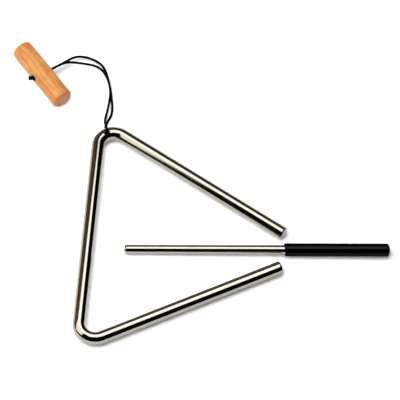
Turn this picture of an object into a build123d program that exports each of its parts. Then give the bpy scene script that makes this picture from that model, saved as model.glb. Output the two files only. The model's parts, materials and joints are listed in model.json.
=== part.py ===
from build123d import *
import math
import os

os.makedirs("parts", exist_ok=True)

# Triangle instrument, set down flat beside its cord and holder, with the beater lying through its mouth.
# Millimetres and degrees. +Z is up, z = 0 is the table, the closed side runs along Y and the
# origin is under the middle of the outline of the rigid pieces.

# Triangle rod
rod_dia = 8.0
side_length = 157.0       # closed side, between the sharp corners of the centre line
mouth = 23.0              # between the centres of the two free ends
corner_angle = 60.0
bend_radius = 9.5         # of the centre line
rod_end_round = 0.7
hole_bearing = 124.0      # of the drilled place from the middle of its bend, in plan
hole_lean = 10.0          # of the hole's top towards the inside of the bend
hole_top_chamfer = 0.3
hole_foot_chamfer = 1.4   # countersink under the bend, where the cord leaves
corner_lift = 0.5         # of the drilled bend, which rests on its cord

# Cord, doubled through the rod and the holder
cord_dia = 1.5
thread_slack = 0.4        # play of the doubled cord in the drilled rod
strand_gap = 0.1          # between the two strands inside the holder
lead_angle = 100.0        # direction in which the cord leaves the rod
crown_gap = 0.35          # under the cord where it crosses the rod's crown
eye_stand_off = 0.2       # of the cord from the middle of the rod's hole
eye_turn_radius = 1.6     # round the lower lip of the rod's hole
neck_room = 3.5           # from the outside of the rod to the point where the cord swings
landing_reach = 4.0       # from that point to where the upper strand comes down
landing_height = 1.2
body_gap = 0.3            # between the swinging cord and the part that stays with the rod

# Routes of the two strands from the swing point, x and y from that point and z from the table
inner_route = [
    (0.1, 9.0, 2.0), (1.0, 17.1, 2.6), (1.1, 24.2, 2.8), (0.0, 29.5, 2.9), (-2.0, 34.5, 3.0),
    (-5.1, 39.0, 3.1), (-9.4, 41.4, 3.4), (-14.5, 41.9, 3.8), (-22.5, 41.6, 4.9), (-27.4, 40.8, 5.8),
]
outer_route = [
    (1.1, 4.4, 0.75), (3.1, 8.9, 0.75), (3.2, 13.3, 0.75), (2.5, 18.5, 0.75), (0.7, 27.9, 0.8),
    (-1.5, 35.2, 0.9), (-3.8, 41.2, 1.1), (-7.2, 45.0, 1.4), (-13.1, 47.4, 1.9),
    (-18.6, 47.8, 2.6), (-23.2, 46.3, 3.4), (-27.4, 42.2, 4.4),
]
run_share = 0.45          # of the shorter run, taken by each arc of the cord

# Wooden holder
dowel_dia = 12.9
dowel_length = 44.2
dowel_edge_round = 1.5
dowel_angle = -50.0       # of its axis in plan
dowel_roll = 5.0          # about its axis, which dips the hole at the cord's exit
dowel_back = 40.9         # from the swing point, against X
dowel_aside = 30.5        # from the swing point, along Y
dowel_hole_clearance = 0.2
pair_turn = 25.0          # of the two strands in the hole, from one over the other
knot_bore_dia = 4.4
knot_bore_depth = 2.4
exit_chamfer = 0.4
exit_straight = 2.45      # of cord outside the holder before it bends away

# Stopper knot
knot_dia = 3.8
knot_length = 2.6
bulge_share = 0.5         # of the knot's length, to its widest ring
flat_share = 0.8          # of the knot's width, left flat at its two ends
knot_seat_clearance = 0.3
tail_length = 2.8         # from the middle of the knot
tail_lean = 30.0          # of both tails towards the upper end of the holder
tail_spread = 18.0        # of each tail above or below the cord's line

# Beater
beater_dia = 5.6
beater_length = 157.0     # of the steel bar, which ends inside its grip
beater_tip_round = 1.6
beater_angle = 5.1        # of its axis in plan
beater_aside = 0.7        # of its axis from the middle of the mouth
tip_gap = 18.0            # from the closed side to the beater's tip
grip_wall = 1.1
grip_length = 62.9        # over its closed, domed end
grip_edge_round = 0.5
grip_dome = 1.4           # height of the dome
grip_end_wall = 1.4       # from the bar's end to the top of the dome

overrun = 1.0             # of every cut past the faces that it goes through
from_base = (Align.CENTER, Align.CENTER, Align.MIN)

# Worked out from the sizes above
rod_radius = rod_dia / 2
cord_radius = cord_dia / 2
dowel_radius = dowel_dia / 2
beater_radius = beater_dia / 2
rod_hole_dia = 2 * cord_dia + thread_slack
strand_offset = (cord_dia + strand_gap) / 2
dowel_hole_dia = 2 * cord_dia + strand_gap + 2 * dowel_hole_clearance

half_corner = corner_angle / 2
run_x = math.sin(math.radians(corner_angle))
run_y = math.cos(math.radians(corner_angle))
leg_length = (side_length - mouth) / (2 * run_y)
upper_corner = Vector(0, side_length / 2, rod_radius)
lower_corner = Vector(0, -side_length / 2, rod_radius)
upper_end = upper_corner + Vector(run_x, -run_y) * leg_length
lower_end = lower_corner + Vector(run_x, run_y) * leg_length

# Drilled place on the bend that carries the cord
inward = Vector(math.sin(math.radians(half_corner)), -math.cos(math.radians(half_corner)))
bend_centre = upper_corner + inward * (bend_radius / math.sin(math.radians(half_corner)))
outward = Vector(math.cos(math.radians(hole_bearing)), math.sin(math.radians(hole_bearing)))
hole_place = bend_centre + outward * bend_radius
lead = Vector(math.cos(math.radians(lead_angle)), math.sin(math.radians(lead_angle)))
neck_reach = rod_radius + neck_room


def on_lead(reach, height):
    """Point at a distance from the rod's hole along the cord's lead, at a height over the table."""
    plan = hole_place + lead * reach
    return Vector(plan.X, plan.Y, height)


def in_hole(height):
    """Point beside the leaning axis of the rod's hole, set off along the lead, at a height."""
    drift = math.tan(math.radians(hole_lean)) * (height - corner_lift - rod_radius)
    plan = hole_place - outward * drift + lead * eye_stand_off
    return Vector(plan.X, plan.Y, height)


def turn_at(before, corner, after):
    """Turn of a route at one of its points, in degrees."""
    return (corner - before).get_angle(after - corner)


def arc_radii(points):
    """Largest arc at each inner point: a share of its shorter run over the tangent of half the turn."""
    radii = []
    for before, corner, after in zip(points, points[1:], points[2:]):
        shorter = min((corner - before).length, (after - corner).length)
        half_turn = math.radians(turn_at(before, corner, after)) / 2
        radii.append(run_share * shorter / math.tan(half_turn))
    return radii


def cord_tube(name, points, radii):
    """Round cord along straight runs and tangent arcs, with its radii and volume printed."""
    path = FilletPolyline(*points, radius=radii)
    tube = sweep((path ^ 0) * Circle(cord_radius), path=path)
    wanted = math.pi * cord_radius**2 * path.length
    print(f"{name}: length {path.length:.2f}, radii " + " ".join(f"{radius:.1f}" for radius in radii))
    print(f"{name}: volume {tube.volume:.2f}, section times length {wanted:.2f}")
    return tube


def triangle_rod():
    """Round bar bent at two corners and open at the third, drilled for the cord, one corner lifted."""
    path = FilletPolyline(upper_end, upper_corner, lower_corner, lower_end, radius=bend_radius)
    rod = sweep((path ^ 0) * Circle(rod_radius), path=path)
    rod = fillet(rod.faces().filter_by(GeomType.PLANE).edges(), rod_end_round)
    hole_frame = Pos(hole_place) * Rot(0, 0, hole_bearing - 90) * Rot(hole_lean, 0, 0)
    rod -= hole_frame * Cylinder(rod_hole_dia / 2, rod_dia + 2 * overrun)
    for turn, depth in ((0, hole_top_chamfer), (180, hole_foot_chamfer)):
        reach = depth + overrun
        flare = Cone(rod_hole_dia / 2, rod_hole_dia / 2 + reach, reach)
        rod -= hole_frame * Rot(turn, 0, 0) * Pos(0, 0, rod_radius - depth + reach / 2) * flare
    # The cord passes under the drilled bend, so the triangle leans on its lower leg
    on_table = Vector(lower_corner.X, lower_corner.Y)
    leg_axis = Axis(on_table, Vector(run_x, run_y))
    lean_arm = (hole_place - lower_corner).dot(Vector(-run_y, run_x))
    return rod.rotate(leg_axis, math.degrees(math.asin(corner_lift / lean_arm)))


# Cord at the rod: over the crown, down through the hole and out under the bend
crown_height = corner_lift + rod_dia + crown_gap + cord_radius
crown_in = in_hole(crown_height)
crown_out = on_lead(rod_radius, crown_height)
lip = in_hole(cord_radius)
landing = on_lead(neck_reach + landing_reach, landing_height)
descent = (landing - crown_out) * ((neck_reach - rod_radius) / (neck_reach + landing_reach - rod_radius))
upper_neck = crown_out + descent
lower_neck = on_lead(neck_reach, cord_radius)
stub = cord_radius + body_gap


def cord_eye():
    """Bight of the cord through the drilled bend, ending just short of the swing point."""
    upper_stop = upper_neck - descent.normalized() * stub
    lower_stop = lower_neck - lead * stub
    points = [upper_stop, crown_out, crown_in, lip, lower_stop]
    radii = arc_radii(points)
    radii[-1] = eye_turn_radius
    return cord_tube("cord_eye", points, radii)


# Holder: its place, and a frame whose X runs along the hole from the middle out to the cord's exit
dowel_place = Vector(lower_neck.X - dowel_back, lower_neck.Y + dowel_aside, dowel_radius)
hole_angle = dowel_angle + 90
dowel_frame = Pos(dowel_place) * Rot(0, 0, hole_angle) * Rot(0, dowel_roll, 0)
knot_face = dowel_radius - knot_bore_depth + knot_seat_clearance


def holder_dowel():
    """Wooden dowel with rounded edges and a cross hole, counterbored for the knot."""
    dowel = Rot(90, 0, 0) * Cylinder(dowel_radius, dowel_length)
    dowel = fillet(dowel.edges().filter_by(GeomType.CIRCLE), dowel_edge_round)
    along_hole = Rot(0, 90, 0)
    dowel -= along_hole * Cylinder(dowel_hole_dia / 2, dowel_dia + 2 * overrun)
    reach = exit_chamfer + overrun
    sink = Cone(dowel_hole_dia / 2, dowel_hole_dia / 2 + reach, reach)
    dowel -= along_hole * Pos(0, 0, dowel_radius - exit_chamfer + reach / 2) * sink
    bore = Cylinder(knot_bore_dia / 2, knot_bore_depth + overrun, align=from_base)
    dowel -= Rot(0, 0, 180) * along_hole * Pos(0, 0, dowel_radius - knot_bore_depth) * bore
    return dowel_frame * dowel


def beside_hole_axis(reach, offset):
    """Point at a reach along the holder's hole, set off to where one of the two strands runs."""
    turn = math.radians(pair_turn)
    return (dowel_frame * Pos(reach, -offset * math.sin(turn), offset * math.cos(turn))).position


def strand(name, neck, first_points, route, offset):
    """One strand from the swing point along its route and through the holder to the knot."""
    free = [Vector(neck.X + x, neck.Y + y, z) for x, y, z in route]
    leave = beside_hole_axis(dowel_radius + exit_straight, offset)
    seat = beside_hole_axis(-knot_face, offset)
    points = [neck, *first_points, *free, leave, seat]
    tube = cord_tube(name, points, arc_radii(points))
    return tube + Pos(neck) * Sphere(cord_radius)


def cord_knot():
    """Stopper knot: a rounded lump in the counterbore, with two short tails that stand out of it."""
    bulge = knot_face + knot_length * bulge_share
    back = knot_face + knot_length
    flat = knot_dia * flat_share / 2
    outline = Polyline((back, flat), (back, 0), (knot_face, 0), (knot_face, flat))
    outline += ThreePointArc((knot_face, flat), (bulge, knot_dia / 2), (back, flat))
    knot = revolve(make_face(outline), axis=Axis.X)
    tail = Cylinder(cord_radius, tail_length, align=from_base)
    for side in (-1, 1):
        knot += Pos(bulge, 0, 0) * Rot(0, 0, -tail_lean) * Rot(0, 90 + side * tail_spread, 0) * tail
    return dowel_frame * Rot(0, 0, 180) * knot


# Beater in its own frame: axis along X from the tip
grip_start = beater_length + grip_end_wall - grip_length
grip_radius = beater_radius + grip_wall


def beater_in_place(piece):
    """Lay a beater piece on the table: on its tip and the grip's inner rim, through the mouth."""
    support = grip_start + grip_edge_round - beater_tip_round
    tilt = math.degrees(math.atan(grip_wall / support))
    level = beater_radius * math.cos(math.radians(tilt)) - beater_tip_round * math.sin(math.radians(tilt))
    mouth_mid = Vector((upper_end.X + lower_end.X) / 2, (upper_end.Y + lower_end.Y) / 2 + beater_aside)
    back_off = mouth_mid.X - rod_radius - tip_gap
    fall = back_off * math.tan(math.radians(beater_angle))
    tip = Vector(mouth_mid.X - back_off, mouth_mid.Y - fall, level)
    return Pos(tip) * Rot(0, 0, beater_angle) * Rot(0, -tilt, 0) * piece


def beater_bar():
    """Straight round bar with rounded ends, along X from the tip."""
    bar = Rot(0, 90, 0) * Cylinder(beater_radius, beater_length, align=from_base)
    return fillet(bar.edges().filter_by(GeomType.CIRCLE), beater_tip_round)


def grip_sleeve():
    """Sleeve pushed over the bar: open at its inner rim, closed by a shallow dome at its outer end."""
    dome_start = grip_start + grip_length - grip_dome
    dome_end = grip_start + grip_length
    dome_radius = (grip_radius**2 + grip_dome**2) / (2 * grip_dome)
    half_way = math.asin(grip_radius / dome_radius) / 2
    dome_mid = (dome_end - dome_radius * (1 - math.cos(half_way)), dome_radius * math.sin(half_way))
    outline = Polyline((dome_end, 0), (grip_start, 0), (grip_start, grip_radius), (dome_start, grip_radius))
    outline += ThreePointArc((dome_start, grip_radius), dome_mid, (dome_end, 0))
    sleeve = revolve(make_face(outline), axis=Axis.X)
    sleeve = fillet(sleeve.edges().filter_by(GeomType.CIRCLE), grip_edge_round)
    return sleeve - beater_bar()


rigid_pieces = {
    "triangle_rod": triangle_rod(),
    "holder_dowel": holder_dowel(),
    "beater_rod": beater_in_place(beater_bar()),
    "beater_grip": beater_in_place(grip_sleeve()),
}
cord_pieces = {
    "cord_eye": cord_eye(),
    "cord_strand_inner": strand("cord_strand_inner", upper_neck, [landing], inner_route, strand_offset),
    "cord_strand_outer": strand("cord_strand_outer", lower_neck, [], outer_route, -strand_offset),
    "cord_knot": cord_knot(),
}

boxes = [piece.bounding_box() for piece in rigid_pieces.values()]
origin = Vector(
    (min(box.min.X for box in boxes) + max(box.max.X for box in boxes)) / 2,
    (min(box.min.Y for box in boxes) + max(box.max.Y for box in boxes)) / 2,
)
for node, piece in {**rigid_pieces, **cord_pieces}.items():
    export_step(Pos(-origin) * piece, f"parts/{node}.step")

print("origin", origin)
print("swing point", upper_neck - origin, lower_neck - origin)
print("holder", dowel_place - origin, "hole axis", dowel_frame.x_axis.direction)
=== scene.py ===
"""Percussion triangle with its looped cord, wooden holder and beater, laid on a pale table.

Lengths are written in millimetres and become metres through MM. +Z is up and z = 0 is the table.
The closed side of the triangle runs along Y, and its open corner points to +X.
"""

import json
import logging
import math
from dataclasses import dataclass, field
from enum import Enum

import bmesh
import bpy
import numpy as np
from bpy.types import Material, Mesh, Node, NodeSocket, NodeTree, Object
from mathutils import Matrix, Quaternion, Vector


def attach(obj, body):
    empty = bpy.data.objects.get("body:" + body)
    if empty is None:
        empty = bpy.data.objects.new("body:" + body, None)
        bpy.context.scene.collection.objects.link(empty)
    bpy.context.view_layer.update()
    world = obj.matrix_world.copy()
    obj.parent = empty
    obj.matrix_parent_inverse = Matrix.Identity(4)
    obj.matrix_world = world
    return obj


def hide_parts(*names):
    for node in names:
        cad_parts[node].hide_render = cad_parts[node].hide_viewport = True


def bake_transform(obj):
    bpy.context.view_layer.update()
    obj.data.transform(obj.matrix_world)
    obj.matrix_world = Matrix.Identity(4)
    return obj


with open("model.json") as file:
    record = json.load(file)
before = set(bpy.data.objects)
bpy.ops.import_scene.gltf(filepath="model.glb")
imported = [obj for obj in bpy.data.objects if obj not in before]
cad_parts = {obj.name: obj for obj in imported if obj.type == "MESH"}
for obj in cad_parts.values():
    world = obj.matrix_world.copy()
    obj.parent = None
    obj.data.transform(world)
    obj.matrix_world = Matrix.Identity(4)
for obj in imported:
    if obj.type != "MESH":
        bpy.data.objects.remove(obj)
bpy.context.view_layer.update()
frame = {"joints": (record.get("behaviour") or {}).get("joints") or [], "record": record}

MM = 0.001
TURN = 2 * math.pi
UP = np.array([0.0, 0.0, 1.0])
# Points nearer than this become one pole, and a rounded rim has this many steps.
POLE_GAP = 1e-7
ROUND_STEPS = 8
# An axis counts as steep when more than this share of it points up.
STEEP_SHARE = 0.9
# A cutter's overrun in millimetres, the points in its rings, and the angle of a rim that stays crisp.
CUT_OVERRUN = 1.0
CUTTER_AROUND = 64
CREASE = 32.0
# A wave texture repeats about this many times in one unit of its scale.
WAVES_PER_UNIT = 3.2
log = logging.getLogger("triangle")

# Kinds of value: a bore is a hole's middle, direction and radius, and a route is the points of a strand.
Array = np.ndarray
Pair = tuple[float, float]
Triple = tuple[float, float, float]
Bore = tuple[Array, Array, float]
Route = tuple[Triple, ...]


class Slot(Enum):
    """Material slots of the record."""

    PLATED_STEEL = "plated_steel"
    GRIP = "grip_rubber"
    WOOD = "beech"
    CORD = "cord"


class Body(Enum):
    """Bodies that the pieces move with."""

    TRIANGLE = "triangle"
    CORD = "cord"
    HOLDER = "holder"
    BEATER = "beater"


def linear(hex_colour: str) -> tuple[float, float, float, float]:
    """Turn an sRGB hex colour into linear light.

    Args:
        hex_colour: six hex digits, without a hash sign.
    Returns:
        Linear red, green and blue, and an alpha of one.
    """
    srgb = np.array([int(hex_colour[i : i + 2], 16) for i in (0, 2, 4)]) / 255
    rgb = np.where(srgb <= 0.04045, srgb / 12.92, ((srgb + 0.055) / 1.055) ** 2.4)
    return (*(float(channel) for channel in rgb), 1.0)


def add_node(tree: NodeTree, kind: str, inputs: dict | None = None, **settings: object) -> Node:
    """Add one shader node with its settings, its input values and its links.

    Args:
        tree: node tree that gets the node.
        kind: the rest of Blender's name for the type, such as TexNoise.
        inputs: for each input's name or number, a value, or the output or the node that feeds it.
        settings: properties of the node itself.
    Returns:
        The new node.
    """
    node = tree.nodes.new("ShaderNode" + kind)
    for name, value in settings.items():
        setattr(node, name, value)
    for name, value in (inputs or {}).items():
        source = value.outputs[0] if isinstance(value, Node) else value
        if isinstance(source, NodeSocket):
            tree.links.new(source, node.inputs[name])
        else:
            node.inputs[name].default_value = source
    return node


def empty_material(name: str) -> tuple[Material, NodeTree]:
    """Make a material whose node tree is empty.

    Args:
        name: the material's name.
    Returns:
        The material and its node tree.
    """
    material = bpy.data.materials.new(name)
    material.use_nodes = True
    material.node_tree.nodes.clear()
    return material, material.node_tree


def unit(vectors: Array) -> Array:
    """Scale vectors along the last axis to length one."""
    return vectors / np.linalg.norm(vectors, axis=-1, keepdims=True)


def heading(degrees: float) -> Array:
    """Level direction at an angle from +X."""
    return np.array([math.cos(math.radians(degrees)), math.sin(math.radians(degrees)), 0.0])


def run_along(points: Array) -> Array:
    """Distance of each point from the first one, along the line through the points."""
    return np.concatenate([[0.0], np.cumsum(np.linalg.norm(np.diff(points, axis=0), axis=1))])


def joint_of(name: str) -> dict:
    """Find a joint of the frame by its name."""
    return next(joint for joint in frame["joints"] if joint["name"] == name)


@dataclass
class Patch:
    """Part of a mesh: points and faces, the UV of every face corner and a height for each point."""

    points: Array
    faces: Array
    uv: Array
    height: Array


def carried_ring(
    centres: Array, across: Array, over: Array, radii: Array, along: Array, around: int
) -> Patch:
    """Carry a ring along a path: point(row, angle) = centre + radius * (cos * across + sin * over).

    Args:
        centres: middle of each ring, (rows, 3), in metres.
        across: first direction of each ring, (rows, 3).
        over: second direction of each ring, so that across x over is the way forward.
        radii: radius of each ring, (rows,) or (rows, around), in metres.
        along: distance of each ring along the path, for the UV map, in metres.
        around: points in each ring.
    Returns:
        The tube as a patch. Rings of no radius become poles when the mesh is made.
    """
    angles = np.arange(around) * TURN / around
    radii = np.broadcast_to(radii.reshape(len(centres), -1), (len(centres), around))
    spokes = np.cos(angles)[None, :, None] * across[:, None] + np.sin(angles)[None, :, None] * over[:, None]
    points = centres[:, None] + radii[:, :, None] * spokes
    row, column = np.meshgrid(np.arange(len(centres) - 1), np.arange(around), indexing="ij")
    corners = ((0, 0), (0, 1), (1, 1), (1, 0))
    faces = np.stack([(row + i) * around + (column + j) % around for i, j in corners], axis=-1)
    girth = TURN * float(radii.max())
    uv = np.stack(
        [np.stack([along[row + i], (column + j) * girth / around], axis=-1) for i, j in corners], axis=-2
    )
    points = points.reshape(-1, 3)
    return Patch(points, faces.reshape(-1, 4), uv.reshape(-1, 2), np.ones(len(points)))


def build_piece(name: str, patches: list[Patch]) -> Object:
    """Make one smooth mesh object of some patches, with its poles closed.

    Args:
        name: the piece's name.
        patches: the parts of its surface.
    Returns:
        The object, at the origin.
    """
    offsets = np.cumsum([0] + [len(patch.points) for patch in patches[:-1]])
    points = np.concatenate([patch.points for patch in patches])
    faces = np.concatenate([patch.faces + offset for patch, offset in zip(patches, offsets)])
    mesh = bpy.data.meshes.new(name)
    mesh.from_pydata(points.tolist(), [], faces.tolist())
    layer = mesh.uv_layers.new(name="UVMap")
    layer.data.foreach_set("uv", np.concatenate([patch.uv for patch in patches]).ravel().astype(np.float32))
    relief = mesh.attributes.new("relief", "FLOAT", "POINT")
    relief.data.foreach_set("value", np.concatenate([patch.height for patch in patches]).astype(np.float32))
    piece = bpy.data.objects.new(name, mesh)
    bpy.context.scene.collection.objects.link(piece)
    close_poles(mesh)
    mesh.shade_smooth()
    return piece


def close_poles(mesh: Mesh) -> None:
    """Merge the points of every ring that has no radius.

    Args:
        mesh: the mesh that is closed.
    """
    work = bmesh.new()
    work.from_mesh(mesh)
    bmesh.ops.remove_doubles(work, verts=work.verts, dist=POLE_GAP)
    work.to_mesh(mesh)
    work.free()


def lathe(start: Array, axis: Array, profile: Array, around: int, shift: Array | None = None) -> Patch:
    """Turn a profile round an axis: ring(i) lies profile[i, 0] along the axis with radius profile[i, 1].

    Args:
        start: point on the axis where distances begin, in metres.
        axis: direction of the axis.
        profile: distances along the axis and radii, (rows, 2), in metres, outward faces to its left.
        around: points in each ring.
        shift: extra distance along the axis for every point, (rows, around), such as a slanted cut.
    Returns:
        The turned surface.
    """
    forward = unit(axis)
    guide = UP if abs(forward[2]) < STEEP_SHARE else np.array([1.0, 0.0, 0.0])
    across = unit(np.cross(guide, forward))
    over = np.cross(forward, across)
    rows = len(profile)
    centres = start + profile[:, :1] * forward
    sides = np.tile(across, (rows, 1)), np.tile(over, (rows, 1))
    patch = carried_ring(centres, *sides, profile[:, 1], run_along(profile), around)
    if shift is not None:
        patch.points += shift.reshape(-1, 1) * forward
    return patch


def quarter_round(centre: Pair, radius: float, first: float, last: float, steps: int = ROUND_STEPS) -> Array:
    """Arc of a profile: centre + radius * (cos, sin) from one angle to another.

    Args:
        centre: distance along the axis and distance from it.
        radius: radius of the rounding.
        first: angle where the arc starts, in degrees.
        last: angle where it ends, in degrees.
        steps: spaces between its points.
    Returns:
        The arc's points, (steps + 1, 2).
    """
    angles = np.radians(np.linspace(first, last, steps + 1))
    return np.array(centre) + radius * np.stack([np.cos(angles), np.sin(angles)], axis=1)


def rounded_bar(length: float, radius: float, rounding: float, spacing: float) -> Array:
    """Profile of a round bar from the middle of one end face to the middle of the other.

    Args:
        length: length of the bar.
        radius: its radius.
        rounding: radius of the rounded rims.
        spacing: distance between rings along the bar.
    Returns:
        Distances along the bar and radii, in the unit of the arguments.
    """
    inner = radius - rounding
    count = max(2, int((length - 2 * rounding) / spacing))
    straight = np.linspace(rounding, length - rounding, count + 1)[1:-1]
    return np.concatenate(
        [
            [(0.0, 0.0), (0.0, inner / 2)],
            quarter_round((rounding, inner), rounding, 180, 90),
            np.stack([straight, np.full_like(straight, radius)], axis=1),
            quarter_round((length - rounding, inner), rounding, 90, 0),
            [(length, inner / 2), (length, 0.0)],
        ]
    )


def drill(piece: Object, middle: Array, axis: Array, outline: Array) -> None:
    """Cut a turned hole into a piece and keep its rim crisp.

    Args:
        piece: the piece that is drilled.
        middle: point of the hole's axis where distances begin, in millimetres.
        axis: direction of the hole.
        outline: distances along the axis and radii of the hole, in millimetres.
    """
    cutter = build_piece("hole_cutter", [lathe(middle * MM, axis, outline * MM, CUTTER_AROUND)])
    cut = piece.modifiers.new("hole", "BOOLEAN")
    cut.operation = "DIFFERENCE"
    cut.solver = "EXACT"
    cut.object = cutter
    whole = piece.data
    evaluated = piece.evaluated_get(bpy.context.evaluated_depsgraph_get())
    piece.data = bpy.data.meshes.new_from_object(evaluated)
    piece.data.name = piece.name
    piece.modifiers.clear()
    bpy.data.objects.remove(cutter)
    bpy.data.meshes.remove(whole)
    piece.data.shade_smooth()
    piece.data.set_sharp_from_angle(angle=math.radians(CREASE))


def finish_piece(piece: Object, material: Material) -> None:
    """Dress a piece with its finish.

    Args:
        piece: the piece.
        material: its finish.
    """
    piece.data.materials.clear()
    piece.data.materials.append(material)


def mottle(
    tree: NodeTree, place: Node | NodeSocket, width_mm: float, detail: float, length_mm: float | None = None
) -> Node:
    """Mottle a surface with noise, in spots that may be drawn out along the first coordinate.

    Args:
        tree: node tree of the material.
        place: coordinates in metres.
        width_mm: width of a spot.
        detail: finer layers of the noise.
        length_mm: length of a spot, where it differs from the width.
    Returns:
        The node that gives the noise.
    """
    fine, drawn_out = 1 / (width_mm * MM), 1 / ((length_mm or width_mm) * MM)
    spots = add_node(tree, "Mapping", {"Vector": place, "Scale": (drawn_out, fine, fine)})
    return add_node(tree, "TexNoise", {"Vector": spots, "Scale": 1.0, "Detail": detail})


def tinted(
    tree: NodeTree,
    colour: tuple | NodeSocket,
    pattern: Node | NodeSocket,
    span: Pair,
    most: float,
    tint: str,
) -> NodeSocket:
    """Lay a tint over a colour where a pattern is strong.

    Args:
        tree: node tree of the material or the world.
        colour: the colour below, in linear light, or its socket.
        pattern: the node or socket of the pattern.
        span: values of the pattern where the tint begins and where it is full.
        most: share of the tint where it is full.
        tint: sRGB hex colour of the tint.
    Returns:
        The socket of the new colour.
    """
    share = add_node(tree, "MapRange", {"Value": pattern, 1: span[0], 2: span[1], 3: 0.0, 4: most})
    mix = add_node(tree, "Mix", {"Factor": share, 6: colour, 7: linear(tint)}, data_type="RGBA")
    return mix.outputs[2]


@dataclass(frozen=True)
class NickelPlate:
    """Polished nickel plating on drawn steel bar: a warm mirror with faint lines along the bar."""

    colour: str = "959384"
    tarnish: str = "7F7B6D"
    tarnish_span: Pair = (0.5, 0.8)
    tarnish_share: float = 0.35
    # Painted shade: near black laid over the plating on the hole's wall and its chamfered mouth.
    hole_shade: str = "0C0B09"
    roughness: Pair = (0.07, 0.12)
    dull_span: Pair = (0.35, 0.75)
    smudge_mm: float = 9.0
    # Real polishing lines are a few hundredths of a millimetre wide. They are drawn coarser, to show at all.
    line_width_mm: float = 0.18
    line_length_mm: float = 14.0
    line_depth_mm: float = 0.05
    line_strength: float = 0.03

    def material(self, bore: Bore) -> Material:
        """Build the material: UV runs along the bar, so the polishing lines follow its bends.

        Args:
            bore: middle, direction and mouth radius of the hole, whose wall and chamfered mouth are painted
                near black as shade, in millimetres.
        Returns:
            The material.
        """
        material, tree = empty_material("polished_nickel_plate")
        place = add_node(tree, "TexCoord")
        lines = mottle(tree, place.outputs["UV"], self.line_width_mm, 3.0, self.line_length_mm)
        smudge = mottle(tree, place.outputs["Object"], self.smudge_mm, 4.0)
        (low, high), (bright, dull) = self.dull_span, self.roughness
        dulling = add_node(tree, "MapRange", {"Value": smudge, 1: low, 2: high, 3: bright, 4: dull})
        plating = tinted(
            tree, linear(self.colour), smudge, self.tarnish_span, self.tarnish_share, self.tarnish
        )
        # The hole and its chamfered mouth get painted shade in place of the plating.
        skin = add_node(
            tree,
            "Mix",
            {"Factor": self.hole_shade_mask(tree, place.outputs["Object"], bore), 6: plating, 7: linear(self.hole_shade)},
            data_type="RGBA",
        )
        relief = add_node(
            tree,
            "Bump",
            {"Height": lines, "Strength": self.line_strength, "Distance": self.line_depth_mm * MM},
        )
        surface = add_node(
            tree,
            "BsdfPrincipled",
            {"Base Color": skin.outputs[2], "Metallic": 1.0, "Roughness": dulling, "Normal": relief},
        )
        add_node(tree, "OutputMaterial", {"Surface": surface})
        return material

    @staticmethod
    def hole_shade_mask(tree: NodeTree, place: NodeSocket, bore: Bore) -> Node:
        """Mask the hole's wall and chamfered mouth, which are painted near black as shade: the distance from
        its axis is |(place - middle) x axis|.

        Args:
            tree: node tree of the material.
            place: Object coordinates.
            bore: middle, direction and radius of the hole, in millimetres.
        Returns:
            A node that gives one in the hole and zero elsewhere.
        """
        middle, axis, radius = bore
        off = add_node(tree, "VectorMath", {0: place, 1: tuple(middle * MM)}, operation="SUBTRACT")
        arm = add_node(tree, "VectorMath", {0: off, 1: tuple(axis)}, operation="CROSS_PRODUCT")
        reach = add_node(tree, "VectorMath", {0: arm}, operation="LENGTH")
        return add_node(tree, "Math", {0: reach.outputs["Value"], 1: radius * MM}, operation="LESS_THAN")


@dataclass(frozen=True)
class DippedVinyl:
    """Dip-moulded black vinyl: a smooth, slightly uneven skin with one thin line of shine."""

    colour: str = "020202"
    shine: str = "121212"
    roughness: Pair = (0.0, 0.11)
    ripple_span: Pair = (0.3, 0.7)
    ripple_mm: float = 1.6
    ripple_depth_mm: float = 0.1
    ripple_strength: float = 0.12

    def material(self) -> Material:
        """Build the material with a low ripple in its skin.

        Returns:
            The material.
        """
        material, tree = empty_material("dipped_black_vinyl")
        place = add_node(tree, "TexCoord")
        ripple = mottle(tree, place.outputs["Object"], self.ripple_mm, 4.0)
        (low, high), (bright, dull) = self.ripple_span, self.roughness
        dulling = add_node(tree, "MapRange", {"Value": ripple, 1: low, 2: high, 3: bright, 4: dull})
        relief = add_node(
            tree,
            "Bump",
            {"Height": ripple, "Strength": self.ripple_strength, "Distance": self.ripple_depth_mm * MM},
        )
        rubbery = add_node(tree, "BsdfDiffuse", {"Color": linear(self.colour), "Normal": relief})
        glint = add_node(
            tree, "BsdfGlossy", {"Color": linear(self.shine), "Roughness": dulling, "Normal": relief}
        )
        skin = add_node(tree, "AddShader", {0: rubbery, 1: glint})
        add_node(tree, "OutputMaterial", {"Surface": skin})
        return material


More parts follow.
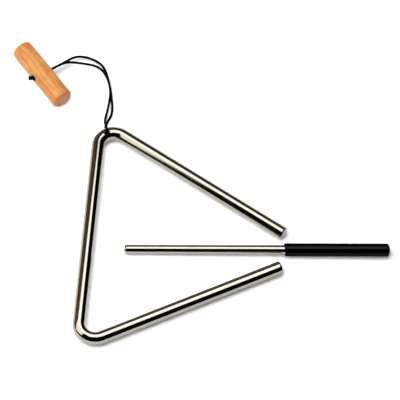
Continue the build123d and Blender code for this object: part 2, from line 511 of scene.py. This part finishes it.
@dataclass(frozen=True)
class ClearedBeech:
    """Turned beech under a thin clear coat: orange tan, warm patches, fine rings and short dark flecks."""

    dark: str = "B27532"
    light: str = "D09A54"
    light_span: Pair = (0.4, 0.74)
    flush: str = "BA622C"
    flush_span: Pair = (0.42, 0.62)
    flush_share: float = 0.5
    flush_mm: float = 7.0
    fleck: str = "945526"
    fleck_span: Pair = (0.62, 0.74)
    fleck_share: float = 0.55
    fleck_width_mm: float = 0.28
    fleck_length_mm: float = 3.2
    ring_mm: float = 2.4
    ring_share: float = 0.12
    ring_warp: float = 3.0
    ring_warp_scale: float = 0.6
    pith_mm: Triple = (0.0, 11.0, 9.0)
    grain_width_mm: float = 0.9
    grain_length_mm: float = 11.0
    grain_depth_mm: float = 0.06
    grain_strength: float = 0.25
    roughness: Pair = (0.36, 0.5)
    dull_span: Pair = (0.3, 0.7)
    specular: float = 0.3
    coat: float = 0.05
    coat_roughness: float = 0.25

    def material(self, middle: Array, axis_angle: float) -> Material:
        """Build the material with its grain along the dowel.

        Args:
            middle: middle of the dowel, in metres.
            axis_angle: angle of the dowel's axis from +X, in degrees.
        Returns:
            The wood's material.
        """
        material, tree = empty_material("clear_coated_beech")
        place = add_node(tree, "TexCoord")
        centred = add_node(
            tree,
            "Mapping",
            {
                "Vector": place.outputs["Object"],
                "Location": tuple(float(value) for value in middle),
                "Rotation": (0.0, 0.0, math.radians(axis_angle)),
            },
            vector_type="TEXTURE",
        )
        pith = tuple(value * MM for value in self.pith_mm)
        trunk = add_node(tree, "Mapping", {"Vector": centred, "Location": pith})
        rings = add_node(
            tree,
            "TexWave",
            {
                "Vector": trunk,
                "Scale": 1 / (self.ring_mm * MM) / WAVES_PER_UNIT,
                "Distortion": self.ring_warp,
                "Detail": 2.0,
                "Detail Scale": self.ring_warp_scale,
            },
            wave_type="RINGS",
            rings_direction="X",
        )
        grain = mottle(tree, centred, self.grain_width_mm, 4.0, self.grain_length_mm)
        flecks = mottle(tree, centred, self.fleck_width_mm, 1.0, self.fleck_length_mm)
        patches = mottle(tree, centred, self.flush_mm, 2.0)
        year = add_node(tree, "Math", {0: rings, 1: self.ring_share, 2: grain}, operation="MULTIPLY_ADD")
        colour = tinted(tree, linear(self.dark), year, self.light_span, 1.0, self.light)
        colour = tinted(tree, colour, patches, self.flush_span, self.flush_share, self.flush)
        colour = tinted(tree, colour, flecks, self.fleck_span, self.fleck_share, self.fleck)
        (low, high), (bright, dull) = self.dull_span, self.roughness
        dulling = add_node(tree, "MapRange", {"Value": grain, 1: low, 2: high, 3: bright, 4: dull})
        relief = add_node(
            tree,
            "Bump",
            {"Height": grain, "Strength": self.grain_strength, "Distance": self.grain_depth_mm * MM},
        )
        surface = add_node(
            tree,
            "BsdfPrincipled",
            {
                "Base Color": colour,
                "Roughness": dulling,
                "Specular IOR Level": self.specular,
                "Coat Weight": self.coat,
                "Coat Roughness": self.coat_roughness,
                "Normal": relief,
            },
        )
        add_node(tree, "OutputMaterial", {"Surface": surface})
        return material


@dataclass(frozen=True)
class BraidedPolyester:
    """Tightly braided black polyester cord: dull threads, with a little light painted on their crowns and
    shade painted in the grooves.
    """

    # Painted light and shade: crowns a touch lighter, grooves darker, than the cord's own black.
    crown: str = "030303"
    groove: str = "010101"
    roughness: float = 0.6
    shine: float = 0.03
    # Real threads are a few hundredths of a millimetre thick. They are drawn coarser, to show at all.
    thread_mm: float = 0.12
    thread_depth_mm: float = 0.03
    thread_strength: float = 0.3

    def material(self) -> Material:
        """Build the material: the braid's height is stored on the mesh, and the grooves are painted darker
        as shade.

        Returns:
            The material.
        """
        material, tree = empty_material("braided_black_polyester")
        height = add_node(tree, "Attribute", attribute_name="relief")
        place = add_node(tree, "TexCoord")
        threads = mottle(tree, place.outputs["UV"], self.thread_mm, 2.0)
        colour = add_node(
            tree,
            "Mix",
            {"Factor": height.outputs["Fac"], 6: linear(self.groove), 7: linear(self.crown)},
            data_type="RGBA",
        )
        relief = add_node(
            tree,
            "Bump",
            {"Height": threads, "Strength": self.thread_strength, "Distance": self.thread_depth_mm * MM},
        )
        surface = add_node(
            tree,
            "BsdfPrincipled",
            {
                "Base Color": colour.outputs[2],
                "Roughness": self.roughness,
                "Specular IOR Level": self.shine,
                "Normal": relief,
            },
        )
        add_node(tree, "OutputMaterial", {"Surface": surface})
        return material


@dataclass
class TriangleBar:
    """The bent bar: two bends of one radius, an open third corner and a hole through the first bend."""

    dia: float = 8.0
    side: float = 157.0
    mouth: float = 23.0
    bend_radius: float = 9.5
    corner: float = 60.0
    end_round: float = 1.2
    hole_dia: float = 3.4
    hole_bearing: float = 124.0
    hole_lean: float = 10.0
    top_chamfer: float = 0.3
    foot_chamfer: float = 1.4
    corner_lift: float = 0.5
    lead_angle: float = 100.0
    neck_reach: float = 7.5
    spacing: float = 0.8
    around: int = 96
    hole_place: Array = field(init=False)
    closed_mid: Array = field(init=False)

    def __post_init__(self) -> None:
        """Find the bar from the cord's swing point, which lies off the hole along the cord's lead."""
        swing = joint_of("cord_swing")["pos_m"]
        plan = np.array([swing[0] / MM, swing[1] / MM, 0.0])
        self.hole_place = plan - heading(self.lead_angle) * self.neck_reach
        bend_centre = self.hole_place - heading(self.hole_bearing) * self.bend_radius
        inset = self.bend_radius / math.sin(math.radians(self.corner / 2))
        sharp_corner = bend_centre - heading(self.corner / 2 - 90) * inset
        self.closed_mid = sharp_corner - np.array([0.0, self.side / 2, 0.0])

    def hole_axis(self) -> Array:
        """Direction of the hole: upright, but leaning to the inside of the bend."""
        lean = math.radians(self.hole_lean)
        return math.cos(lean) * UP - math.sin(lean) * heading(self.hole_bearing)

    def bore(self) -> Bore:
        """Middle, direction and mouth radius of the hole, in millimetres."""
        middle = self.hole_place + UP * (self.dia / 2 + self.corner_lift)
        return middle, self.hole_axis(), self.hole_dia / 2 + self.top_chamfer

    def in_hole(self, height: float, stand_off: float) -> Array:
        """Find a point beside the hole's axis.

        Args:
            height: its height over the table, in millimetres.
            stand_off: its distance from the axis along the cord's lead, in millimetres.
        Returns:
            The point, in millimetres.
        """
        drift = math.tan(math.radians(self.hole_lean)) * (height - self.corner_lift - self.dia / 2)
        plan = self.hole_place - heading(self.hole_bearing) * drift + heading(self.lead_angle) * stand_off
        return plan + UP * height

    def leg(self) -> float:
        """Length of a leg's centre line from the sharp corner to the free end."""
        return (self.side - self.mouth) / (2 * math.cos(math.radians(self.corner)))

    def segments(self) -> tuple[Array, Array]:
        """Measure the five stretches of the centre line: leg, bend, closed side, bend, leg.

        Returns:
            Their lengths and their curvatures, from the upper free end.
        """
        tangent = self.bend_radius / math.tan(math.radians(self.corner / 2))
        arc = self.bend_radius * math.radians(180 - self.corner)
        straight = self.leg() - tangent
        lengths = np.array([straight, arc, self.side - 2 * tangent, arc, straight])
        return lengths, np.array([0, 1, 0, 1, 0]) / self.bend_radius

    def centre_line(self, along: Array) -> tuple[Array, Array]:
        """Follow straight stretches and arcs: the heading is the sum of curvature times length.

        Args:
            along: distances from the upper free end, in millimetres.
        Returns:
            Points of the centre line and the directions there.
        """
        lengths, curvatures = self.segments()
        starts = np.concatenate([[0.0], np.cumsum(lengths)[:-1]])
        turn = math.radians(90 + self.corner)
        headings = turn + np.concatenate([[0.0], np.cumsum(lengths * curvatures)[:-1]])
        corner = self.closed_mid + np.array([0.0, self.side / 2, self.dia / 2])
        steps = np.stack(self.stretch(lengths, curvatures, headings), axis=1)
        first = corner - self.leg() * np.array([math.cos(turn), math.sin(turn), 0.0])
        nodes = first + np.concatenate([np.zeros((1, 3)), np.cumsum(steps, axis=0)[:-1]])
        part = np.clip(np.searchsorted(starts, along, side="right") - 1, 0, len(starts) - 1)
        run = along - starts[part]
        points = nodes[part] + np.stack(self.stretch(run, curvatures[part], headings[part]), axis=1)
        angle = headings[part] + run * curvatures[part]
        return points, np.stack([np.cos(angle), np.sin(angle), np.zeros_like(angle)], axis=1)

    @staticmethod
    def stretch(run: Array, curvature: Array, start: Array) -> tuple[Array, Array, Array]:
        """Move along an arc: the chord is run * sinc(turn / 2) at the mean heading.

        Args:
            run: length of each stretch.
            curvature: its curvature.
            start: its first heading, in radians.
        Returns:
            The x, y and z of each move.
        """
        turn = run * curvature
        chord = run * np.sinc(turn / TURN)
        return chord * np.cos(start + turn / 2), chord * np.sin(start + turn / 2), np.zeros_like(chord)

    def lean(self, points: Array) -> Array:
        """Turn points about the line on which the lower leg rests, so that the drilled bend rises.

        Args:
            points: points of the level bar, in millimetres.
        Returns:
            The points of the bar as it lies on its cord.
        """
        base = self.closed_mid - np.array([0.0, self.side / 2, 0.0])
        axis = heading(90 - self.corner)
        side = np.cross(UP, axis)
        arm = float((self.hole_place - base) @ side)
        angle = math.asin(self.corner_lift / arm)
        off = points - base
        out, high = off @ side, off[:, 2]
        turned_out = out * math.cos(angle) - high * math.sin(angle)
        turned_high = out * math.sin(angle) + high * math.cos(angle)
        return base + np.outer(off @ axis, axis) + np.outer(turned_out, side) + np.outer(turned_high, UP)

    def hole_outline(self) -> Array:
        """Work out the hole's profile: a countersunk foot, a straight wall and a chamfered mouth.

        Returns:
            Distances along the hole from its middle and radii, in millimetres.
        """
        hole, deep = self.hole_dia / 2, self.dia / 2 + CUT_OVERRUN
        foot, top = self.dia / 2 - self.foot_chamfer, self.dia / 2 - self.top_chamfer
        foot_flare, top_flare = hole + deep - foot, hole + deep - top
        return np.array(
            [(-deep, 0), (-deep, foot_flare), (-foot, hole), (top, hole), (deep, top_flare), (deep, 0)]
        )

    def build(self, material: Material) -> Object:
        """Make the bar, drill it and dress it.

        Args:
            material: the bar's finish.
        Returns:
            The bar.
        """
        length = float(self.segments()[0].sum())
        profile = rounded_bar(length, self.dia / 2, self.end_round, self.spacing)
        centres, forward = self.centre_line(profile[:, 0])
        over = np.tile(UP, (len(centres), 1))
        patch = carried_ring(
            centres, np.cross(UP, forward), over, profile[:, 1], profile[:, 0] * MM, self.around
        )
        patch.points = self.lean(patch.points) * MM
        bar = build_piece("triangle_bar", [patch])
        middle, axis, _ = self.bore()
        drill(bar, middle, axis, self.hole_outline())
        finish_piece(bar, material)
        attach(bar, Body.TRIANGLE.value)
        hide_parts("triangle_rod")
        return bar


@dataclass
class HolderDowel:
    """Turned wooden holder with rounded rims and a cross hole, counterbored for the knot."""

    dia: float = 12.9
    length: float = 44.2
    edge_round: float = 1.5
    hole_dia: float = 3.5
    bore_dia: float = 4.4
    bore_depth: float = 2.4
    exit_chamfer: float = 0.4
    spacing: float = 0.7
    around: int = 112
    middle: Array = field(init=False)
    hole_axis: Array = field(init=False)

    def __post_init__(self) -> None:
        """Take the dowel's middle and its hole's direction from the joint that it turns on."""
        joint = joint_of("holder_turn")
        self.middle = np.array(joint["pos_m"]) / MM
        self.hole_axis = unit(np.array(joint["axis"], float))

    def along(self) -> Array:
        """Direction of the dowel's own axis, level and square to its hole, towards its near end."""
        return unit(np.cross(self.hole_axis, UP))

    def upward(self) -> Array:
        """Direction square to both the dowel's axis and its hole."""
        return np.cross(self.along(), self.hole_axis)

    def hole_outline(self) -> Array:
        """Work out the cross hole's profile: the knot's seat, the straight hole and a chamfered exit.

        Returns:
            Distances along the hole from its middle and radii, in millimetres.
        """
        hole, bore, reach = self.hole_dia / 2, self.bore_dia / 2, self.dia / 2 + CUT_OVERRUN
        seat, lip = self.dia / 2 - self.bore_depth, self.dia / 2 - self.exit_chamfer
        knot_side = [(-reach, 0), (-reach, bore), (-seat, bore), (-seat, hole)]
        return np.array([*knot_side, (lip, hole), (reach, hole + reach - lip), (reach, 0)])

    def build(self, finish: ClearedBeech) -> Object:
        """Turn the dowel, drill its cross hole and dress it.

        Args:
            finish: the wood.
        Returns:
            The dowel.
        """
        axis = self.along()
        start = self.middle - axis * self.length / 2
        profile = rounded_bar(self.length, self.dia / 2, self.edge_round, self.spacing)
        dowel = build_piece("holder_dowel_turned", [lathe(start * MM, axis, profile * MM, self.around)])
        drill(dowel, self.middle, self.hole_axis, self.hole_outline())
        angle = math.degrees(math.atan2(axis[1], axis[0]))
        finish_piece(dowel, finish.material(self.middle * MM, angle))
        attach(dowel, Body.HOLDER.value)
        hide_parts("holder_dowel")
        return dowel


@dataclass
class Beater:
    """Straight steel bar with rounded ends, in a dipped sleeve with a closed, domed end."""

    dia: float = 5.6
    length: float = 157.0
    tip_round: float = 1.6
    grip_wall: float = 1.1
    grip_length: float = 62.9
    grip_edge: float = 0.5
    grip_dome: float = 1.4
    grip_end_wall: float = 1.4
    rim_slant: float = 0.35
    slant_fade: float = 9.0
    fit_gap: float = 0.01
    rim_ease: float = 0.1
    dome_share: float = 0.93
    spacing: float = 1.2
    bore_rows: int = 40
    wall_rows: int = 80
    dome_steps: int = 14
    around: int = 80
    tip: Array = field(init=False)
    axis: Array = field(init=False)

    def __post_init__(self) -> None:
        """Take the beater's axis from its mount, which lies half way along the grip's straight wall."""
        mount = next(mount for mount in frame["record"]["mounts"] if mount["name"] == "grip")
        self.axis = unit(np.array(mount["axis"], float))
        start = self.grip_start() + self.grip_edge
        middle = start + mount["dims"]["length_mm"] / 2
        self.tip = np.array(mount["pos_m"]) / MM - self.axis * middle

    def grip_start(self) -> float:
        """Distance from the tip to the grip's open rim."""
        return self.length + self.grip_end_wall - self.grip_length

    def grip_profile(self) -> Array:
        """Draw the sleeve's profile: up its bore from the closed end, round the rim and out to the dome.

        Returns:
            Distances from the tip along the beater and radii, in millimetres.
        """
        bore, outer, edge = self.dia / 2 + self.fit_gap, self.dia / 2 + self.grip_wall, self.grip_edge
        start, end = self.grip_start(), self.grip_start() + self.grip_length
        dome_radius = (outer**2 + self.grip_dome**2) / (2 * self.grip_dome)
        shoulder = math.degrees(math.asin(outer / dome_radius))
        inside = np.linspace(self.length, start + edge, self.bore_rows)
        outside = np.linspace(start + edge, end - self.grip_dome - edge, self.wall_rows)
        rim = quarter_round((start + edge, outer - edge), edge, 180, 90)
        dome_start = shoulder * self.dome_share
        dome = quarter_round((end - dome_radius, 0.0), dome_radius, dome_start, 0, self.dome_steps)
        turn = self.shoulder_curve((outside[-1], outer), dome[0], edge)
        return np.concatenate(
            [
                [(self.length, 0.0)],
                np.stack([inside, np.full_like(inside, bore)], axis=1),
                [(start, bore + self.rim_ease)],
                rim[:-1],
                np.stack([outside, np.full_like(outside, outer)], axis=1),
                turn[1:-1],
                dome,
            ]
        )

    @staticmethod
    def shoulder_curve(first: Pair, last: Array, edge: float) -> Array:
        """Soft shoulder: a parabola between two points whose middle control point is the sharp corner.

        Args:
            first: last point of the straight wall.
            last: first point of the dome.
            edge: length of the wall that the shoulder takes up.
        Returns:
            Points of the shoulder.
        """
        corner = np.array([first[0] + edge, first[1]])
        step = np.linspace(0, 1, ROUND_STEPS + 1)[:, None]
        return (1 - step) ** 2 * np.array(first) + 2 * step * (1 - step) * corner + step**2 * last

    def build(self, plate: Material, vinyl: Material) -> list[Object]:
        """Make the bar and its sleeve and dress them.

        Args:
            plate: the bar's finish.
            vinyl: the sleeve's finish.
        Returns:
            The bar and the sleeve.
        """
        profile = rounded_bar(self.length, self.dia / 2, self.tip_round, self.spacing)
        bar = build_piece("beater_bar", [lathe(self.tip * MM, self.axis, profile * MM, self.around)])
        finish_piece(bar, plate)
        outline = self.grip_profile()
        fade = np.clip(1 - (outline[:, 0] - self.grip_start()) / self.slant_fade, 0, 1) ** 2
        angles = np.arange(self.around) * TURN / self.around
        slant = -self.rim_slant * MM * fade[:, None] * np.cos(angles)[None, :]
        sleeve = build_piece(
            "beater_sleeve", [lathe(self.tip * MM, self.axis, outline * MM, self.around, slant)]
        )
        finish_piece(sleeve, vinyl)
        for piece, node in ((bar, "beater_rod"), (sleeve, "beater_grip")):
            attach(piece, Body.BEATER.value)
            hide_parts(node)
        return [bar, sleeve]


@dataclass(frozen=True)
class Braid:
    """Braided surface of a cord: its threads, the length of a plait and the depth of the grooves."""

    carriers: int = 8
    plait: float = 1.7
    groove: float = 0.09
    cap_share: float = 0.6
    # No stretch of the cord runs this way, so the rings of points start from it.
    lookout: Triple = (1.0, -0.18, 1.0)
    around: int = 32

    def tube(self, line: Array, radius: float) -> Patch:
        """Braid a cord along a line: two families of threads wind round it, and the higher one shows.

        The radius is r * (1 - groove + groove * height), where height is the larger of
        |cos(n / 2 * angle + q * s)| and |cos(n / 2 * angle - q * s)|.

        Args:
            line: points of the centre line, (rows, 3), in metres.
            radius: outer radius, in millimetres.
        Returns:
            The tube with closed ends and the braid's height.
        """
        forward = unit(np.gradient(line, axis=0))
        lookout = unit(np.array(self.lookout))
        across = unit(lookout - (forward @ lookout)[:, None] * forward)
        over = np.cross(forward, across)
        along = run_along(line)
        threads = self.carriers / 2 * np.arange(self.around)[None, :] * TURN / self.around
        wind = along[:, None] * math.pi / (self.plait * MM)
        height = np.maximum(np.abs(np.cos(threads + wind)), np.abs(np.cos(threads - wind)))
        radii = radius * MM * (1 - self.groove + self.groove * height)
        rows = np.concatenate([[0, 0], np.arange(len(line)), [len(line) - 1] * 2])
        share = np.ones(len(rows))
        share[[0, 1, -2, -1]] = (0.0, self.cap_share, self.cap_share, 0.0)
        patch = carried_ring(
            line[rows], across[rows], over[rows], radii[rows] * share[:, None], along[rows], self.around
        )
        patch.height = height[rows].ravel()
        return patch


BRAID = Braid()


@dataclass
class LoopCord:
    """One cord, doubled: from the knot along the inner strand, through the bar and back along the outer."""

    bar: TriangleBar
    holder: HolderDowel
    dia: float = 1.5
    strand_gap: float = 0.1
    pair_turn: float = 25.0
    exit_straight: float = 2.45
    landing: Pair = (11.5, 1.2)
    crown: float = 9.6
    stand_off: float = 0.2
    hole_shares: Pair = (0.75, 0.35)
    foot_reach: float = 3.2
    exit_run: float = 3.5
    bend_inset: float = 0.5
    bend_run: float = 7.0
    seat: float = 4.35
    spacing: float = 0.14
    inner_route: Route = (
        (0.1, 9.0, 2.0), (1.0, 17.1, 2.6), (1.1, 24.2, 2.8), (0.0, 29.5, 2.9), (-2.0, 34.5, 3.0),
        (-5.1, 39.0, 3.1), (-9.4, 41.4, 3.4), (-14.5, 41.9, 3.8), (-22.5, 41.6, 4.9), (-27.4, 40.8, 5.8),
    )
    outer_route: Route = (
        (1.1, 4.4, 0.75), (3.1, 8.9, 0.75), (3.2, 13.3, 0.75), (2.5, 18.5, 0.75), (0.7, 27.9, 0.8),
        (-1.5, 35.2, 0.9), (-3.8, 41.2, 1.1), (-7.2, 45.0, 1.4), (-13.1, 47.4, 1.9),
        (-18.6, 47.8, 2.6), (-23.2, 46.3, 3.4), (-27.4, 42.2, 4.4),
    )

    def on_lead(self, reach: float, height: float) -> Array:
        """Point at a distance from the bar's hole along the cord's lead, at a height over the table."""
        return self.bar.hole_place + heading(self.bar.lead_angle) * reach + UP * height

    def in_holder(self, out: float, offset: float) -> Array:
        """Find a point of one strand in the holder's hole.

        Args:
            out: distance from the middle of the holder along its hole, in millimetres.
            offset: distance from the hole's axis, to the strand above it or, if negative, below it.
        Returns:
            The point, in millimetres.
        """
        turn = math.radians(self.pair_turn)
        side = math.cos(turn) * self.holder.upward() + math.sin(turn) * self.holder.along()
        return self.holder.middle + self.holder.hole_axis * out + side * offset

    def control_points(self) -> Array:
        """Lay out the whole cord: out of the holder, through the bar and back into the holder.

        Returns:
            Its route from one end in the knot to the other, in millimetres.
        """
        neck = self.on_lead(self.bar.neck_reach, 0.0)
        rise = (self.dia + self.strand_gap) / 2
        leave = self.holder.dia / 2 + self.exit_straight
        inside = leave - self.exit_run
        inner = [neck + np.array(point) for point in self.inner_route]
        outer = [neck + np.array(point) for point in self.outer_route]
        heights = (self.crown, *(self.bar.dia * share for share in self.hole_shares), self.dia / 2)
        eye = [
            self.on_lead(*self.landing),
            self.on_lead(self.bar.dia / 2, self.crown),
            *(self.bar.in_hole(height, self.stand_off) for height in heights),
            self.on_lead(self.foot_reach, self.dia / 2),
            self.on_lead(self.bar.neck_reach, self.dia / 2),
        ]
        first = [self.in_holder(out, rise) for out in (-self.seat, inside, leave)]
        last = [self.in_holder(out, -rise) for out in (leave, inside, -self.seat)]
        return np.array(first + inner[::-1] + eye + outer + last)

    def centre_line(self) -> Array:
        """Draw the cord's NURBS line along its route.

        Returns:
            Evenly spaced points of the line, in metres.
        """
        route = self.control_points() * MM
        curve = bpy.data.curves.new("cord_line", "CURVE")
        curve.dimensions = "3D"
        spline = curve.splines.new("NURBS")
        spline.points.add(len(route) - 1)
        spline.points.foreach_set("co", np.column_stack([route, np.ones(len(route))]).ravel())
        spline.order_u = 3
        spline.use_endpoint_u = True
        spline.resolution_u = 24
        guide = bpy.data.objects.new("cord_line", curve)
        mesh = bpy.data.meshes.new_from_object(guide)
        points = np.empty(len(mesh.vertices) * 3)
        mesh.vertices.foreach_get("co", points)
        points = points.reshape(-1, 3)
        bpy.data.objects.remove(guide)
        bpy.data.meshes.remove(mesh)
        bpy.data.curves.remove(curve)
        along = run_along(points)
        even = np.linspace(0, along[-1], int(along[-1] / (self.spacing * MM)))
        return np.stack([np.interp(even, along, points[:, k]) for k in range(3)], axis=1)

    def build(self, material: Material, line: Array) -> Object:
        """Braid the cord along its line and dress it.

        Args:
            material: the cord's finish.
            line: points of its centre line, in metres.
        Returns:
            The cord.
        """
        cord = build_piece("looped_cord", [BRAID.tube(line, self.dia / 2)])
        finish_piece(cord, material)
        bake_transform(cord)
        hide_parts("cord_eye", "cord_strand_inner", "cord_strand_outer")
        return cord


@dataclass
class StopperKnot:
    """Overhand knot of the doubled cord, sunk in the holder, with two short cut tails that stand out."""

    holder: HolderDowel
    dia: float = 1.5
    spread: float = 0.72
    swell: float = 0.42
    middle: float = 5.65
    tail: float = 3.6
    tail_lean: float = 30.0
    tail_spread: float = 18.0
    rows: int = 260
    tail_rows: int = 24

    def build(self, material: Material) -> Object:
        """Tie the knot from a trefoil line, ring(t) = spread + swell * cos(3t), and add its tails.

        Args:
            material: the cord's finish.
        Returns:
            The knot.
        """
        outward, upper_end, upward = -self.holder.hole_axis, -self.holder.along(), self.holder.upward()
        centre = self.holder.middle + outward * self.middle
        turn = np.linspace(0, TURN, self.rows)
        ring = self.spread + self.swell * np.cos(3 * turn)
        lobes = [self.swell * np.sin(3 * turn), ring * np.cos(2 * turn), ring * np.sin(2 * turn)]
        lines = [(centre + np.stack(lobes, axis=1) @ np.stack([outward, upper_end, upward])) * MM]
        lean = math.radians(self.tail_lean)
        for side in (-1, 1):
            spread = math.radians(side * self.tail_spread)
            level = math.cos(lean) * outward + math.sin(lean) * upper_end
            way = math.cos(spread) * level + math.sin(spread) * upward
            reach = np.linspace(0, self.tail, self.tail_rows)
            lines.append((centre + reach[:, None] * way) * MM)
        knot = build_piece("stopper_knot", [BRAID.tube(line, self.dia / 2) for line in lines])
        finish_piece(knot, material)
        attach(knot, Body.CORD.value)
        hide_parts("cord_knot")
        return knot


@dataclass(frozen=True)
class Softbox:
    """Flat lamp that faces the middle of the table: sides and distance in metres, power in watts."""

    name: str
    way: Triple
    long_way: Triple
    sides: Pair
    power: float
    mirrored: bool
    distance: float = 1.0
    tint: str = "FFFFFF"

    def hang(self) -> None:
        """Hang the lamp with its second side along its long way. Reflections may be kept from showing it."""
        lamp = bpy.data.lights.new(self.name, "AREA")
        lamp.shape = "RECTANGLE"
        lamp.size, lamp.size_y = self.sides
        lamp.energy = self.power
        lamp.color = linear(self.tint)[:3]
        back = Vector(self.way).normalized()
        across = Vector(self.long_way).cross(back).normalized()
        turn = Matrix((across, back.cross(across), back)).transposed()
        box = bpy.data.objects.new(self.name, lamp)
        box.matrix_world = Matrix.Translation(back * self.distance) @ turn.to_4x4()
        box.visible_glossy = self.mirrored
        bpy.context.scene.collection.objects.link(box)


KEY_BOX = Softbox(
    "key_softbox", (0.01, 0.16, 0.987), (-0.208, 0.978, 0.0), (0.78, 0.86), 7.9, True, tint="F6F4FF"
)
SIDE_CARD = Softbox("side_card", (-0.72, -0.10, 0.69), (-0.85, -0.52, 0.0), (0.35, 0.6), 1.7, True, 0.6)
FILL_BOX = Softbox("fill_softbox", (-0.38, -0.28, 0.88), (0.0, 1.0, 0.0), (0.9, 1.4), 9.2, False)


@dataclass
class Studio:
    """White table under two softboxes and a side card, in a dark room, seen from the photograph's place.

    The camera's aim is in millimetres from the middle of the closed side, and the table's size in metres.
    """

    closed_mid: Array
    aim: Triple = (63.941, 32.714, 0.0)
    azimuth: float = 2.488
    elevation: float = 58.602
    roll: float = 2.766
    mm_per_pixel: float = 0.5981
    focal_pixels: float = 9000.0
    frame_pixels: float = 400.0
    sensor: float = 36.0
    clip_end: float = 100.0
    table_size: float = 12.0
    table_colour: str = "E7E7E7"
    shown_gain: float = 1.3
    shown_lift: float = 0.05
    gloom: str = "0B0A09"
    far_glow: str = "8C7E6E"
    glow_angle: float = 120.0
    glow_span: Pair = (0.5, 0.95)

    def table(self) -> None:
        """Lay the pale table. The camera and reflections see it lifted to white, and its shadows stay."""
        half = self.table_size / 2
        corners = [(-half, -half, 0), (half, -half, 0), (half, half, 0), (-half, half, 0)]
        mesh = bpy.data.meshes.new("table")
        mesh.from_pydata(corners, [], [(0, 1, 2, 3)])
        table = bpy.data.objects.new("table", mesh)
        bpy.context.scene.collection.objects.link(table)
        material, tree = empty_material("white_paper_table")
        rays = add_node(tree, "LightPath")
        mirrored = add_node(
            tree,
            "Math",
            {0: rays.outputs["Is Glossy Ray"], 1: rays.outputs["Is Transmission Ray"]},
            operation="ADD",
        )
        shown = add_node(tree, "Math", {0: rays.outputs["Is Camera Ray"], 1: mirrored}, operation="MAXIMUM")
        gain = add_node(tree, "MapRange", {"Value": shown, 3: 1.0, 4: self.shown_gain}, clamp=False)
        pale = add_node(
            tree, "VectorMath", {0: linear(self.table_colour)[:3], "Scale": gain}, operation="SCALE"
        )
        lift = add_node(tree, "Math", {0: shown, 1: self.shown_lift}, operation="MULTIPLY")
        paper = add_node(tree, "BsdfDiffuse", {"Color": pale})
        glow = add_node(tree, "Emission", {"Strength": lift})
        both = add_node(tree, "AddShader", {0: paper, 1: glow})
        add_node(tree, "OutputMaterial", {"Surface": both})
        mesh.materials.append(material)

    def light(self) -> None:
        """Hang the lamps and darken the room, with a faint glow on its far side, as the metal shows it."""
        for box in (KEY_BOX, SIDE_CARD, FILL_BOX):
            box.hang()
        world = bpy.data.worlds.new("dark_studio")
        world.use_nodes = True
        tree = world.node_tree
        tree.nodes.clear()
        place = add_node(tree, "TexCoord")
        toward = add_node(
            tree,
            "VectorMath",
            {0: place.outputs["Generated"], 1: tuple(heading(self.glow_angle))},
            operation="DOT_PRODUCT",
        )
        far = toward.outputs["Value"]
        room = tinted(tree, linear(self.gloom), far, self.glow_span, 1.0, self.far_glow)
        sky = add_node(tree, "Background", {"Color": room, "Strength": 1.0})
        add_node(tree, "OutputWorld", {"Surface": sky})
        bpy.context.scene.world = world

    def camera(self) -> None:
        """Set the long lens at the photograph's angle, aimed at the middle of its frame."""
        lens = bpy.data.cameras.new("camera")
        lens.sensor_width = self.sensor
        lens.lens = self.sensor * self.focal_pixels / self.frame_pixels
        lens.clip_end = self.clip_end
        away = self.focal_pixels * self.mm_per_pixel * MM
        turn, rise = math.radians(self.azimuth), math.radians(self.elevation)
        level_x, level_y = math.sin(turn) * math.cos(rise), -math.cos(turn) * math.cos(rise)
        back = Vector((level_x, level_y, math.sin(rise)))
        camera = bpy.data.objects.new("camera", lens)
        camera.location = Vector(self.closed_mid + np.array(self.aim)) * MM + back * away
        level = (-back).to_track_quat("-Z", "Y")
        camera.rotation_euler = (level @ Quaternion((0.0, 0.0, 1.0), math.radians(self.roll))).to_euler()
        bpy.context.scene.collection.objects.link(camera)
        bpy.context.scene.camera = camera
        bpy.context.scene.view_settings.view_transform = "Standard"


def main() -> None:
    """Build the studio and every piece, in order, and report each one."""
    logging.basicConfig(level=logging.INFO, format="%(message)s")
    bar = TriangleBar()
    holder = HolderDowel()
    studio = Studio(bar.closed_mid)
    studio.camera()
    studio.light()
    studio.table()
    plate = NickelPlate().material(bar.bore())
    braid = BraidedPolyester().material()
    loop = LoopCord(bar, holder)
    line = loop.centre_line()
    cord = loop.build(braid, line)
    knot = StopperKnot(holder).build(braid)
    made = [
        cord,
        knot,
        bar.build(plate),
        holder.build(ClearedBeech()),
        *Beater().build(plate, DippedVinyl().material()),
    ]
    for piece in made:
        log.info("%s: %d faces", piece.name, len(piece.data.polygons))


if __name__ == "__main__":
    main()
